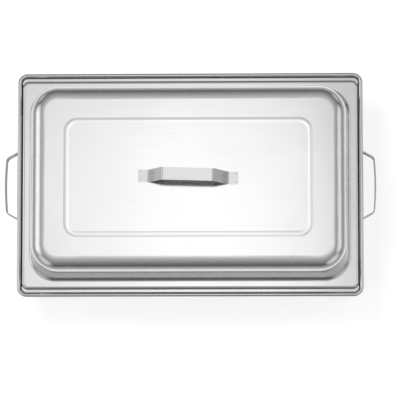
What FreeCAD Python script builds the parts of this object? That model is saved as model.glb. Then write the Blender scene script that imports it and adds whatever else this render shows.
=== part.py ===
import FreeCAD, Part

import math
import os

import Sketcher

# Full-size buffet chafing dish: a lift-off lid over a gastronorm food pan, which hangs in a water pan,
# which rests on a legged frame with two fuel holders.
# Millimetres, Z up, X along the dish, -Y towards the guest. The origin is on the table under the middle.

SIZES = (
    # food pan, a full-size gastronorm pan
    ("food_length", 530, "food pan over its flange, along X"),
    ("food_width", 325, "food pan over its flange, along Y"),
    ("food_corner", 16, "corner radius of the food pan's flange"),
    ("food_rise", 6, "turned-down edge of the food pan's flange"),
    ("food_sheet", 0.8, "sheet of the food pan"),
    ("food_edge_bend", 2.5, "outer bend of the food pan's flange"),
    ("food_flange", 13, "width of the food pan's flange round its opening"),
    ("food_mouth_corner", 46, "corner radius of the opening"),
    ("food_mouth_bend", 4, "bend from the flange into the food pan"),
    ("food_depth", 65, "flange to the food pan's inner floor"),
    ("food_lean", 5, "lean of each food pan wall over its depth"),
    ("food_floor_corner", 40, "corner radius at the food pan's floor"),
    ("food_floor_bend", 16, "bend from the walls into the floor"),
    # water pan
    ("rim_top", 195, "crown of the water pan's rolled rim above the table"),
    ("rim_corner", 16, "corner radius of the rolled rim, outside"),
    ("bead_radius", 3.3, "outer radius of the rolled bead"),
    ("curl_turn", 285, "turn of the curl in degrees"),
    ("ledge_drop", 8, "crown of the bead to the ledge"),
    ("ledge_bend", 2, "bend from the ledge up to the bead"),
    ("well_sheet", 0.8, "sheet of the water pan"),
    ("well_play", 3.2, "gap between the food pan's wall and the well"),
    ("well_mouth_bend", 3, "bend from the ledge into the well"),
    ("well_depth", 84, "crown of the bead to the well's inner floor"),
    ("well_lean", 6, "lean of each well wall over its depth"),
    ("well_floor_corner", 42, "corner radius at the well's floor"),
    ("well_floor_bend", 12, "bend from the well's walls into its floor"),
    # lid
    ("lid_sheet", 0.8, "sheet of the lid"),
    ("lid_play_x", 6.8, "gap inside the lip past the food pan, along X"),
    ("lid_play_y", 6.5, "gap inside the lip past the food pan, along Y"),
    ("lid_corner", 11, "corner radius of the lid's flange"),
    ("lid_edge_bend", 5, "outer bend of the lid's flange"),
    ("lip_gap", 1.4, "lip's lower edge above the ledge"),
    ("rim_gap_x", 0.8, "gap between the lip and the bead, along X"),
    ("rim_gap_y", 5.6, "gap between the lip and the bead, along Y"),
    ("dome_inset_x", 8.5, "dome's foot inside the food pan's outline, along X"),
    ("dome_inset_y", 8.7, "dome's foot inside the food pan's outline, along Y"),
    ("dome_corner", 40, "corner radius at the dome's foot"),
    ("dome_root_bend", 4, "bend from the flange into the dome"),
    ("dome_rise", 100, "flange to crown"),
    ("dome_lean", 7, "lean of each dome wall over its rise"),
    ("crown_corner", 44, "corner radius of the crown"),
    ("shoulder_bend", 23, "shoulder between wall and crown"),
    ("rib_inset", 56, "middle of the pressed bead inside the crown's edge"),
    ("rib_corner", 17, "corner radius of the pressed bead, on its middle"),
    ("rib_band", 9, "width of the pressed bead"),
    ("rib_rise", 0.4, "height of the pressed bead"),
    # lid handle
    ("strap_width", 20, "width of the lid handle's strip"),
    ("strap_sheet", 1.5, "thickness of the lid handle's strip"),
    ("strap_bend", 2.75, "inner bend radius of the strip"),
    ("foot_corner", 1.5, "corner radius of the handle's feet"),
    ("strap_length", 159.8, "lid handle over its feet"),
    ("foot_run", 17.5, "length of each foot"),
    ("grip_run", 80.4, "length of the straight grip"),
    ("grip_rise", 40, "crown of the lid to the strip's underside"),
    ("strap_skew", 1.6, "turn of the welded-on handle from square, in degrees"),
    ("weld_radius", 1.5, "radius of a weld mark"),
    ("weld_depth", 0.3, "depth of a weld mark"),
    ("weld_from_end", 4.5, "weld mark from the foot's end"),
    ("weld_spread", 12.8, "distance between a foot's two weld marks"),
    # frame band and side handles
    ("band_inset_x", 14, "band's outer face inside the rolled rim's outline, along X"),
    ("band_inset_y", 22, "band's outer face inside the rolled rim's outline, along Y"),
    ("band_height", 25, "height of the band"),
    ("band_sheet", 2, "thickness of the band"),
    ("band_corner", 12, "outer corner radius of the band"),
    ("overall_length", 602, "length over the side handles"),
    ("loop_height", 20, "height of the side handles' strip"),
    ("loop_sheet", 2, "thickness of the side handles' strip"),
    ("loop_bend", 7, "inner bend radius of the side handles"),
    ("loop_grip", 87, "length of a side handle's bar between its bends"),
    ("loop_foot_spread", 122, "distance between the inner ends of a side handle's feet"),
    ("loop_foot_run", 16, "length of each foot on the band"),
    ("bar_bow", 3, "outward bow of the side handle's bar"),
    ("bow_radius", 430, "radius of the bowed bar, on its inner face"),
    # legs
    ("leg_sheet", 1.5, "sheet of the legs"),
    ("leg_top_reach", 62, "width of each leg flange along the band"),
    ("leg_neck_reach", 34, "width of each leg flange below the gusset"),
    ("leg_foot_reach", 30, "width of each leg flange at the foot"),
    ("gusset_height", 26, "straight height of the wide top of the leg"),
    ("leg_top_gap", 1, "leg's top below the band's top"),
    ("rivet_reach", 46, "leg rivet from the leg's outer corner"),
    ("rivet_radius", 2, "radius of a leg rivet's shank"),
    ("rivet_head_radius", 4, "radius of a leg rivet's head"),
    ("rivet_head_rise", 2, "height of a leg rivet's head"),
    ("rivet_tail_radius", 3.2, "radius of a leg rivet's tail"),
    ("rivet_tail_rise", 1.2, "height of a leg rivet's tail"),
    ("cap_height", 14, "height of a foot cap"),
    ("cap_floor", 3, "floor of a foot cap"),
    ("cap_wall", 2.2, "wall of a foot cap"),
    ("cap_play", 0.1, "gap between a leg and its cap"),
    # cross bars and burner shelf
    ("shelf_top", 52, "upper face of the burner shelf above the table"),
    ("shelf_sheet", 1.2, "sheet of the burner shelf"),
    ("shelf_width", 150, "burner shelf along Y"),
    ("shelf_drop", 14, "turned-down sides of the shelf"),
    ("shelf_bend", 1.8, "inner bend of the shelf's sides"),
    ("shelf_corner", 6, "corner radius of the shelf's ends"),
    ("shelf_end_gap", 0.5, "gap between the shelf's end and the cross bar's upright"),
    ("shelf_side_gap", 2, "gap between the turned-down side and the cross bar"),
    ("bar_height", 22, "upright of a cross bar"),
    ("bar_ledge", 20, "level flange of a cross bar"),
    ("bar_sheet", 2, "thickness of a cross bar"),
    ("screw_radius", 2.5, "radius of the frame screws"),
    ("screw_head_radius", 4.75, "radius of a screw's head"),
    ("screw_head_rise", 2.8, "height of a screw's head"),
    ("screw_past_nut", 1.5, "screw's end past its nut"),
    ("screw_play", 0.25, "gap round a screw in its holes"),
    ("nut_across", 8, "nut across its flats"),
    ("nut_rise", 4, "height of a nut"),
    ("bar_screw_reach", 21.5, "cross bar's screw from the leg's outer corner"),
    ("bar_screw_drop", 12, "cross bar's screw below the bar's upper face"),
    ("shelf_screw_spread", 100, "distance between the shelf's two screws at an end"),
    # fuel holders
    ("burner_spacing", 260, "distance between the two fuel holders"),
    ("cup_radius", 41, "outer radius of a fuel cup"),
    ("cup_depth", 42, "shelf to the underside of the cup"),
    ("cup_sheet", 0.7, "sheet of a fuel cup"),
    ("cup_flange", 7, "width of the cup's flange"),
    ("cup_rise", 3, "height of the cup's flange above the shelf"),
    ("cup_chamfer", 4, "slope between the cup's wall and its floor"),
    ("hole_play", 1, "gap round a cup in the shelf"),
    ("hole_collar", 4, "depth of the drawn collar round a shelf hole"),
    ("flame_radius", 23, "radius of the flame hole"),
    ("cover_sheet", 0.7, "sheet of a fuel holder's cover"),
    ("cover_play", 0.3, "gap between the cover's lip and the cup's flange"),
    ("cover_lip", 2.2, "lip of the cover below the cup's flange top"),
    ("pivot_reach", 34, "damper pivot from the flame hole's middle"),
    ("pivot_radius", 2, "radius of the damper's rivet"),
    ("pivot_play", 0.05, "running gap of the damper on its rivet"),
    ("pivot_head_radius", 4, "radius of the damper rivet's head"),
    ("pivot_head_rise", 1.6, "height of the damper rivet's head"),
    ("damper_radius", 26, "radius of the damper plate"),
    ("damper_ear", 7, "radius of the damper's ear round the rivet"),
    ("damper_sheet", 1, "thickness of the damper plate"),
    ("damper_gap", 0.2, "gap above and below the damper plate"),
    ("damper_open", 100, "turn of the damper from shut to open, in degrees"),
    ("knob_reach", 16, "knob in front of the damper plate's middle"),
    ("knob_radius", 7, "radius of the knob"),
    ("knob_rise", 9, "height of the knob"),
    ("knob_neck_radius", 4.2, "radius of the knob's neck"),
    ("knob_stud_radius", 1.8, "radius of the knob's stud"),
)

# Sizes that follow from the ones above, as expressions of the sheet.
MOUTH_LENGTH = "(Dims.food_length - 2 * Dims.food_flange)"
MOUTH_WIDTH = "(Dims.food_width - 2 * Dims.food_flange)"
LEDGE_TOP = "(Dims.rim_top - Dims.ledge_drop)"
BAND_TOP = f"({LEDGE_TOP} - Dims.well_sheet)"
BAND_MIDDLE = f"({BAND_TOP} - Dims.band_height / 2)"
FLANGE_TOP = f"({LEDGE_TOP} + Dims.food_rise)"
LID_FLANGE_TOP = f"({FLANGE_TOP} + Dims.lid_sheet)"
CROWN_TOP = f"({LID_FLANGE_TOP} + Dims.dome_rise)"
LID_LENGTH = "(Dims.food_length + 2 * (Dims.lid_play_x + Dims.lid_sheet))"
LID_WIDTH = "(Dims.food_width + 2 * (Dims.lid_play_y + Dims.lid_sheet))"
RIM_LENGTH = f"({LID_LENGTH} + 2 * (Dims.rim_gap_x + 2 * Dims.bead_radius))"
RIM_WIDTH = f"({LID_WIDTH} + 2 * (Dims.rim_gap_y + 2 * Dims.bead_radius))"
LIP_DEPTH = "(Dims.food_rise + Dims.lid_sheet - Dims.lip_gap)"
BAND_LENGTH = f"({RIM_LENGTH} - 2 * Dims.band_inset_x)"
BAND_WIDTH = f"({RIM_WIDTH} - 2 * Dims.band_inset_y)"
LEG_X = f"({BAND_LENGTH} / 2 + Dims.leg_sheet)"
LEG_Y = f"({BAND_WIDTH} / 2 + Dims.leg_sheet)"
LEG_HEIGHT = f"({BAND_TOP} - Dims.leg_top_gap - Dims.cap_floor)"
BAR_TOP = "(Dims.shelf_top - Dims.shelf_sheet)"
BAR_SCREW_Y = f"({LEG_Y} - Dims.bar_screw_reach)"
BAR_SCREW_Z = f"({BAR_TOP} - Dims.bar_screw_drop)"
SHELF_SCREW_X = f"({BAND_LENGTH} / 2 - (Dims.bar_ledge + Dims.bar_sheet) / 2)"
COVER_TOP = "(Dims.cup_rise + Dims.cover_sheet)"
DAMPER_BASE = f"({COVER_TOP} + Dims.damper_gap)"
DAMPER_TOP = f"({DAMPER_BASE} + Dims.damper_sheet)"

doc = FreeCAD.newDocument("chafing_dish")
dims = doc.addObject("Spreadsheet::Sheet", "Dims")
for row, (alias, size, meaning) in enumerate(SIZES, start=1):
    dims.set(f"A{row}", meaning)
    dims.set(f"B{row}", str(size))
    dims.setAlias(f"B{row}", alias)
doc.recompute()

# Nodes to write, by name, in the order they are made.
nodes = {}


def value(expression):
    """Number that an expression of the sheet gives now."""
    return float(doc.getObject("Dims").evalExpression(expression))


def point(x, y):
    return FreeCAD.Vector(x, y, 0)


def new_body(name, node=True):
    """Body with its own label; node says that it is a piece of its own."""
    body = doc.addObject("PartDesign::Body", name)
    body.Label = name
    if node:
        nodes[name] = body
    return body


def place(thing, x="0", y="0", z="0", turn=None):
    """Placement from expressions; turn is about Z, in degrees."""
    thing.setExpression("Placement.Base.x", x)
    thing.setExpression("Placement.Base.y", y)
    thing.setExpression("Placement.Base.z", z)
    if turn is not None:
        thing.Placement.Rotation = FreeCAD.Rotation(FreeCAD.Vector(0, 0, 1), 1)
        thing.setExpression("Placement.Rotation.Angle", turn)


def origin_plane(body, role):
    return next(item for item in body.Origin.OriginFeatures if item.Role == role)


def new_sketch(body, name, role, lift="0", right="0", up="0"):
    """Sketch on an origin plane, lifted along its normal and shifted in it."""
    sketch = body.newObject("Sketcher::SketchObject", name)
    sketch.AttachmentSupport = (origin_plane(body, role), [""])
    sketch.MapMode = "FlatFace"
    sketch.setExpression("AttachmentOffset.Base.x", right)
    sketch.setExpression("AttachmentOffset.Base.y", up)
    sketch.setExpression("AttachmentOffset.Base.z", lift)
    return sketch


def bind(sketch, name, expression, kind, *where):
    """Constraint with a name of its own, bound to an expression."""
    index = sketch.addConstraint(Sketcher.Constraint(kind, *where, value(expression)))
    sketch.renameConstraint(index, name)
    sketch.setExpression("Constraints." + name, expression)


def tie(sketch, kind, *where):
    sketch.addConstraint(Sketcher.Constraint(kind, *where))


def pin_point(sketch, name, geometry, end, x, y):
    """Hold one point of a sketch at a place given by two expressions."""
    bind(sketch, name + "_x", x, "DistanceX", -1, 1, geometry, end)
    bind(sketch, name + "_y", y, "DistanceY", -1, 1, geometry, end)


def rounded_outline(body, name, height, length, width, corner):
    """Rectangle with round corners about the origin, drawn round from the middle of its right side."""
    sketch = new_sketch(body, name, "XY_Plane", height)
    x = value(length) / 2
    y = value(width) / 2
    r = value(corner)
    sides = (
        ((x, 0), (x, y - r)),
        ((x - r, y), (r - x, y)),
        ((-x, y - r), (-x, r - y)),
        ((r - x, -y), (x - r, -y)),
        ((x, r - y), (x, 0)),
    )
    centres = ((x - r, y - r), (r - x, y - r), (r - x, r - y), (x - r, r - y))
    quarter = math.pi / 2
    for index, (start, stop) in enumerate(sides):
        sketch.addGeometry(Part.LineSegment(point(*start), point(*stop)), False)
        if index < len(centres):
            circle = Part.Circle(point(*centres[index]), FreeCAD.Vector(0, 0, 1), r)
            sketch.addGeometry(Part.ArcOfCircle(circle, index * quarter, (index + 1) * quarter), False)
    count = len(sides) + len(centres)
    for index in range(count - 1):
        tie(sketch, "Tangent", index, 2, index + 1, 1)
    tie(sketch, "Coincident", count - 1, 2, 0, 1)
    tie(sketch, "PointOnObject", 0, 1, -1)
    for index in range(0, count, 4):
        tie(sketch, "Vertical", index)
    for index in range(2, count, 4):
        tie(sketch, "Horizontal", index)
    for index in range(3, count, 2):
        tie(sketch, "Equal", 1, index)
    tie(sketch, "Symmetric", 1, 3, 5, 3, -1, 1)
    bind(sketch, "length", length, "DistanceX", 4, 1, 0, 1)
    bind(sketch, "width", width, "DistanceY", 6, 1, 2, 1)
    bind(sketch, "corner", corner, "Radius", 1)
    return sketch


def polygon(body, name, role, corners, lift="0", right="0", up="0"):
    """Closed outline of straight lines through corners given as pairs of expressions."""
    sketch = new_sketch(body, name, role, lift, right, up)
    spots = [(value(x), value(y)) for x, y in corners]
    count = len(spots)
    for index, spot in enumerate(spots):
        following = spots[(index + 1) % count]
        sketch.addGeometry(Part.LineSegment(point(*spot), point(*following)), False)
    for index in range(count):
        tie(sketch, "Coincident", index, 2, (index + 1) % count, 1)
    for index, (x, y) in enumerate(corners):
        pin_point(sketch, f"corner{index}", index, 1, x, y)
    return sketch


def circles(body, name, role, rounds, lift="0"):
    """Circles given as x, y and radius expressions."""
    sketch = new_sketch(body, name, role, lift)
    for index, (x, y, radius) in enumerate(rounds):
        circle = Part.Circle(point(value(x), value(y)), FreeCAD.Vector(0, 0, 1), value(radius))
        sketch.addGeometry(circle, False)
        pin_point(sketch, f"middle{index}", index, 3, x, y)
        bind(sketch, f"radius{index}", radius, "Radius", index)
    return sketch


def bent_strip(body, name, role, corners, bends, sheet, side, lift="0"):
    """Edge view of a bent strip. Corners and bends are those of its first face, walked from end to end;
    the second face lies a sheet away, to the left (side 1) or right (side -1) of the walk."""
    sketch = new_sketch(body, name, role, lift)
    spots = [point(value(x), value(y)) for x, y in corners]
    thickness = value(sheet)
    faces = ([], [])
    second_bends = []
    start = spots[0]
    for index in range(1, len(spots)):
        spot = spots[index]
        along = (spot - spots[index - 1]).normalize()
        across = point(-along.y, along.x) * (side * thickness)
        if index == len(spots) - 1:
            faces[0].append(Part.LineSegment(start, spot))
            faces[1].append(Part.LineSegment(start + across, spot + across))
            break
        ahead = (spots[index + 1] - spot).normalize()
        left_turn = 1 if along.x * ahead.y - along.y * ahead.x > 0 else -1
        radius = value(bends[index - 1])
        other = radius - left_turn * side * thickness
        half_turn = along.getAngle(ahead) / 2
        reach = along * (radius * math.tan(half_turn))
        stop = spot - reach
        centre = stop + point(-along.y, along.x) * (left_turn * radius)
        first = math.atan2(stop.y - centre.y, stop.x - centre.x)
        last = first + left_turn * 2 * half_turn
        faces[0].append(Part.LineSegment(start, stop))
        faces[1].append(Part.LineSegment(start + across, stop + across))
        for face, size in zip(faces, (radius, other)):
            circle = Part.Circle(centre, FreeCAD.Vector(0, 0, 1), size)
            face.append(Part.ArcOfCircle(circle, min(first, last), max(first, last)))
        second_bends.append((left_turn, f"{bends[index - 1]} {'-' if left_turn * side > 0 else '+'} {sheet}"))
        start = spot + ahead * (radius * math.tan(half_turn))
    count = len(faces[0])
    for geometry in faces[0] + faces[1]:
        sketch.addGeometry(geometry, False)
    for first_index in (0, count):
        for step, (left_turn, _) in enumerate(second_bends):
            line = first_index + 2 * step
            near, far = (1, 2) if left_turn > 0 else (2, 1)
            tie(sketch, "Tangent", line, 2, line + 1, near)
            tie(sketch, "Tangent", line + 1, far, line + 2, 1)
    for step, (_, second_bend) in enumerate(second_bends):
        arc = 2 * step + 1
        bind(sketch, f"bend{step}", bends[step], "Radius", arc)
        tie(sketch, "Coincident", arc, 3, count + arc, 3)
        bind(sketch, f"far_bend{step}", second_bend, "Radius", count + arc)
        mark = sketch.addGeometry(Part.Point(spots[step + 1]), True)
        pin_point(sketch, f"corner{step}", mark, 1, *corners[step + 1])
        tie(sketch, "PointOnObject", mark, 1, arc - 1)
        tie(sketch, "PointOnObject", mark, 1, arc + 1)
    for line, end in ((0, 1), (count - 1, 2)):
        tips = [getattr(face[line], "StartPoint" if end == 1 else "EndPoint") for face in faces]
        cap = sketch.addGeometry(Part.LineSegment(*tips), False)
        tie(sketch, "Coincident", cap, 1, line, end)
        tie(sketch, "Coincident", cap, 2, count + line, end)
        tie(sketch, "Perpendicular", cap, line)
        tie(sketch, "Perpendicular", cap, count + line)
    pin_point(sketch, "start", 0, 1, *corners[0])
    pin_point(sketch, "stop", count - 1, 2, *corners[-1])
    return sketch


def pad(body, name, profile, length, symmetric=False, downward=False):
    feature = body.newObject("PartDesign::Pad", name)
    feature.Profile = profile
    feature.SideType = "Symmetric" if symmetric else "One side"
    feature.Reversed = downward
    feature.setExpression("Length", length)
    doc.recompute()
    return feature


def pocket(body, name, profile, depth, along_normal=False, symmetric=False):
    """Cut against the sketch's normal, or along it, and make sure that it has cut something."""
    before = body.Shape.Volume
    feature = body.newObject("PartDesign::Pocket", name)
    feature.Profile = profile
    feature.SideType = "Symmetric" if symmetric else "One side"
    feature.Reversed = along_normal
    feature.setExpression("Length", depth)
    doc.recompute()
    if body.Shape.Volume >= before:
        raise RuntimeError(f"{body.Label}: {name} cuts nothing")
    return feature


def revolve(body, name, profile, axis="V_Axis"):
    feature = body.newObject("PartDesign::Revolution", name)
    feature.Profile = profile
    feature.ReferenceAxis = (profile, [axis])
    feature.Angle = 360
    doc.recompute()
    return feature


def loft(body, name, first, second):
    feature = body.newObject("PartDesign::AdditiveLoft", name)
    feature.Profile = first
    feature.Sections = [second]
    feature.Ruled = True
    doc.recompute()
    return feature


def sweep(body, name, profile, path):
    feature = body.newObject("PartDesign::AdditivePipe", name)
    feature.Profile = profile
    feature.Spine = (path, [""])
    doc.recompute()
    return feature


def mirror(body, name, role):
    """Everything in the body so far, repeated across one of its planes."""
    feature = body.newObject("PartDesign::Mirrored", name)
    feature.TransformMode = "Whole shape"
    feature.MirrorPlane = (origin_plane(body, role), [""])
    body.Tip = feature
    doc.recompute()
    return feature


def bend(body, name, radius, chosen):
    """Fillet on the edges of the body that a test picks."""
    base = body.Tip
    picked = [f"Edge{index}" for index, edge in enumerate(base.Shape.Edges, start=1) if chosen(edge)]
    if not picked:
        raise RuntimeError(f"{body.Label}: {name} finds no edge")
    feature = body.newObject("PartDesign::Fillet", name)
    feature.Base = (base, picked)
    feature.setExpression("Radius", radius)
    doc.recompute()
    return feature


def level(height, beyond=None, within=None):
    """Test for edges that lie level at a height, outside or inside a centred rectangle."""
    z = value(height)
    outer = [value(size) / 2 for size in beyond] if beyond else None
    inner = [value(size) / 2 for size in within] if within else None

    def chosen(edge):
        box = edge.BoundBox
        if abs(box.ZMin - z) > 0.001 or abs(box.ZMax - z) > 0.001:
            return False
        middle = edge.valueAt((edge.FirstParameter + edge.LastParameter) / 2)
        if outer and abs(middle.x) < outer[0] and abs(middle.y) < outer[1]:
            return False
        if inner and (abs(middle.x) > inner[0] or abs(middle.y) > inner[1]):
            return False
        return True

    return chosen


def ring_edge(height, radius):
    """Test for a round level edge about the body's Z axis."""
    z = value(height)
    r = value(radius)

    def chosen(edge):
        box = edge.BoundBox
        flat = abs(box.ZMin - z) < 0.001 and abs(box.ZMax - z) < 0.001
        return flat and abs(box.XMax - r) < 0.001

    return chosen


def upright(edge):
    """Test for a straight vertical edge."""
    box = edge.BoundBox
    return box.XLength < 0.001 and box.YLength < 0.001 and box.ZLength > 0.001


def skin(name, outside, core):
    """Pressed sheet: a filled form less the space inside it."""
    shell = doc.addObject("Part::Cut", name)
    shell.Label = name
    shell.Base = outside
    shell.Tool = core
    nodes[name] = shell
    return shell


def grown(size, gap):
    """Expression of a size with a gap added on both sides."""
    return f"({size} + 2 * ({gap}))"


# Water pan, about the upper face of its ledge


def water_pan():
    tread_length = f"({RIM_LENGTH} - 4 * Dims.bead_radius)"
    tread_width = f"({RIM_WIDTH} - 4 * Dims.bead_radius)"
    tread_corner = "(Dims.rim_corner - 2 * Dims.bead_radius)"
    bead_height = "(Dims.ledge_drop - Dims.bead_radius)"
    mouth_gap = "(Dims.food_sheet + Dims.well_play)"
    mouth_length = grown(MOUTH_LENGTH, mouth_gap)
    mouth_width = grown(MOUTH_WIDTH, mouth_gap)
    mouth_corner = f"(Dims.food_mouth_corner + {mouth_gap})"
    floor_length = f"({mouth_length} - 2 * Dims.well_lean)"
    floor_width = f"({mouth_width} - 2 * Dims.well_lean)"
    floor_height = "(Dims.ledge_drop - Dims.well_depth)"
    wall = "Dims.well_sheet"

    outside = new_body("water_pan_form", node=False)
    tray = rounded_outline(outside, "tray_outline", f"-{wall}", grown(tread_length, wall),
                           grown(tread_width, wall), f"{tread_corner} + {wall}")
    pad(outside, "tray", tray, f"{bead_height} + {wall}")
    bend(outside, "tray_bend", f"Dims.ledge_bend + {wall}", level(f"-{wall}"))
    mouth = rounded_outline(outside, "well_mouth", f"-{wall}", grown(mouth_length, wall),
                            grown(mouth_width, wall), f"{mouth_corner} + {wall}")
    floor = rounded_outline(outside, "well_floor", f"{floor_height} - {wall}",
                            grown(floor_length, wall), grown(floor_width, wall),
                            f"Dims.well_floor_corner + {wall}")
    loft(outside, "well", mouth, floor)
    bend(outside, "floor_bend", f"Dims.well_floor_bend + {wall}", level(f"{floor_height} - {wall}"))
    bend(outside, "mouth_bend", f"Dims.well_mouth_bend - {wall}",
         level(f"-{wall}", within=(grown(mouth_length, "2"), grown(mouth_width, "2"))))

    # The rim rolls over from the tray's upright, round and under.
    path_length = f"({RIM_LENGTH} - 2 * Dims.bead_radius)"
    path_width = f"({RIM_WIDTH} - 2 * Dims.bead_radius)"
    path = rounded_outline(outside, "bead_path", bead_height, path_length, path_width,
                           "Dims.rim_corner - Dims.bead_radius")
    profile = curl(outside, "bead_curl", f"{path_length} / 2", bead_height)
    sweep(outside, "bead", profile, path)

    core = new_body("water_pan_core", node=False)
    tread = rounded_outline(core, "tread_outline", "0", tread_length, tread_width, tread_corner)
    pad(core, "tread", tread, bead_height)
    bend(core, "tread_bend", "Dims.ledge_bend", level("0"))
    mouth = rounded_outline(core, "well_mouth", "0", mouth_length, mouth_width, mouth_corner)
    floor = rounded_outline(core, "well_floor", floor_height, floor_length, floor_width,
                            "Dims.well_floor_corner")
    loft(core, "well", mouth, floor)
    bend(core, "floor_bend", "Dims.well_floor_bend", level(floor_height))
    bend(core, "mouth_bend", "Dims.well_mouth_bend",
         level("0", within=(grown(mouth_length, "2"), grown(mouth_width, "2"))))
    place(skin("water_pan", outside, core), z=LEDGE_TOP)


def curl(body, name, middle_x, middle_z):
    """Section of the rolled bead: a band of sheet bent round from the upright to its free edge."""
    sketch = new_sketch(body, name, "XZ_Plane")
    outer = "Dims.bead_radius"
    inner = "(Dims.bead_radius - Dims.well_sheet)"
    centre = point(value(middle_x), value(middle_z))
    first = math.radians(180 - value("Dims.curl_turn"))
    for radius in (outer, inner):
        circle = Part.Circle(centre, FreeCAD.Vector(0, 0, 1), value(radius))
        sketch.addGeometry(Part.ArcOfCircle(circle, first, math.pi), False)
    for end in ("EndPoint", "StartPoint"):
        outer_end = getattr(sketch.Geometry[0], end)
        inner_end = getattr(sketch.Geometry[1], end)
        sketch.addGeometry(Part.LineSegment(outer_end, inner_end), False)
    tie(sketch, "Coincident", 0, 2, 2, 1)
    tie(sketch, "Coincident", 1, 2, 2, 2)
    tie(sketch, "Coincident", 0, 1, 3, 1)
    tie(sketch, "Coincident", 1, 1, 3, 2)
    tie(sketch, "Coincident", 0, 3, 1, 3)
    tie(sketch, "Horizontal", 2)
    tie(sketch, "PointOnObject", 0, 3, 2)
    tie(sketch, "PointOnObject", 0, 3, 3)
    pin_point(sketch, "middle", 0, 3, middle_x, middle_z)
    bind(sketch, "outer", outer, "Radius", 0)
    bind(sketch, "inner", inner, "Radius", 1)
    free_edge = f"{middle_x} - {outer} * cos(Dims.curl_turn * 1 deg)"
    bind(sketch, "free_edge", free_edge, "DistanceX", -1, 1, 0, 1)
    return sketch


# Food pan, about the upper face of its flange


def food_pan():
    wall = "Dims.food_sheet"
    floor_length = f"({MOUTH_LENGTH} - 2 * Dims.food_lean)"
    floor_width = f"({MOUTH_WIDTH} - 2 * Dims.food_lean)"
    outside = new_body("food_pan_form", node=False)
    flange = rounded_outline(outside, "flange_outline", "-Dims.food_rise", "Dims.food_length",
                             "Dims.food_width", "Dims.food_corner")
    pad(outside, "flange", flange, "Dims.food_rise")
    under = rounded_outline(outside, "under_flange", "-Dims.food_rise",
                            grown("Dims.food_length", f"-{wall}"),
                            grown("Dims.food_width", f"-{wall}"), f"Dims.food_corner - {wall}")
    pocket(outside, "flange_hollow", under, f"Dims.food_rise - {wall}", along_normal=True)
    bend(outside, "inner_edge_bend", f"Dims.food_edge_bend - {wall}", level(f"-{wall}"))
    bend(outside, "outer_edge_bend", "Dims.food_edge_bend", level("0"))
    mouth = rounded_outline(outside, "mouth", f"-{wall}", grown(MOUTH_LENGTH, wall),
                            grown(MOUTH_WIDTH, wall), f"Dims.food_mouth_corner + {wall}")
    floor = rounded_outline(outside, "floor", f"-Dims.food_depth - {wall}", grown(floor_length, wall),
                            grown(floor_width, wall), f"Dims.food_floor_corner + {wall}")
    loft(outside, "tub", mouth, floor)
    bend(outside, "floor_bend", f"Dims.food_floor_bend + {wall}", level(f"-Dims.food_depth - {wall}"))
    near_mouth = (grown(MOUTH_LENGTH, "2"), grown(MOUTH_WIDTH, "2"))
    bend(outside, "mouth_bend", f"Dims.food_mouth_bend - {wall}", level(f"-{wall}", within=near_mouth))

    core = new_body("food_pan_core", node=False)
    above = rounded_outline(core, "above_flange", "0", "Dims.food_length", "Dims.food_width",
                            "Dims.food_corner")
    pad(core, "above", above, "Dims.food_rise")
    mouth = rounded_outline(core, "mouth", "0", MOUTH_LENGTH, MOUTH_WIDTH, "Dims.food_mouth_corner")
    floor = rounded_outline(core, "floor", "-Dims.food_depth", floor_length, floor_width,
                            "Dims.food_floor_corner")
    loft(core, "tub", mouth, floor)
    bend(core, "floor_bend", "Dims.food_floor_bend", level("-Dims.food_depth"))
    bend(core, "mouth_bend", "Dims.food_mouth_bend", level("0", within=near_mouth))
    place(skin("food_pan", outside, core), z=FLANGE_TOP)


# Lid, about the upper face of its flange


def lid_form(name, flange_low, top, shrink, lean_gap):
    """The lid as a filled form, top high at its flange, with every face moved in by shrink."""
    body = new_body(name, node=False)
    foot_length = "(Dims.food_length - 2 * Dims.dome_inset_x)"
    foot_width = "(Dims.food_width - 2 * Dims.dome_inset_y)"
    crown_length = f"({foot_length} - 2 * Dims.dome_lean)"
    crown_width = f"({foot_width} - 2 * Dims.dome_lean)"
    flange = rounded_outline(body, "flange_outline", flange_low, grown(LID_LENGTH, f"-{shrink}"),
                             grown(LID_WIDTH, f"-{shrink}"), f"Dims.lid_corner - {shrink}")
    pad(body, "flange", flange, f"{top} - ({flange_low})")
    foot = rounded_outline(body, "dome_foot", top, grown(foot_length, f"-{lean_gap}"),
                           grown(foot_width, f"-{lean_gap}"), f"Dims.dome_corner - {lean_gap}")
    crown_height = f"{top} + Dims.dome_rise"
    crown = rounded_outline(body, "crown", crown_height, grown(crown_length, f"-{lean_gap}"),
                            grown(crown_width, f"-{lean_gap}"), f"Dims.crown_corner - {lean_gap}")
    loft(body, "dome", foot, crown)
    bend(body, "shoulder", f"Dims.shoulder_bend - {shrink}", level(crown_height))
    dome = (grown(foot_length, "2"), grown(foot_width, "2"))
    bend(body, "dome_root", f"Dims.dome_root_bend + {shrink}", level(top, within=dome))
    bend(body, "flange_edge", f"Dims.lid_edge_bend - {shrink}", level(top, beyond=dome))
    # The pressed bead is the top of a round bar sunk in the crown.
    bar_radius = "((Dims.rib_band ^ 2 / 4 + Dims.rib_rise ^ 2) / (2 * Dims.rib_rise))"
    bar_height = f"(Dims.dome_rise + Dims.rib_rise - {bar_radius})"
    path_length = grown(crown_length, "-Dims.rib_inset")
    path = rounded_outline(body, "rib_path", bar_height, path_length,
                           grown(crown_width, "-Dims.rib_inset"), "Dims.rib_corner")
    section = circles(body, "rib_section", "XZ_Plane",
                      [(f"{path_length} / 2", bar_height, f"{bar_radius} - {shrink}")])
    sweep(body, "rib", section, path)
    return body


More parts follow.
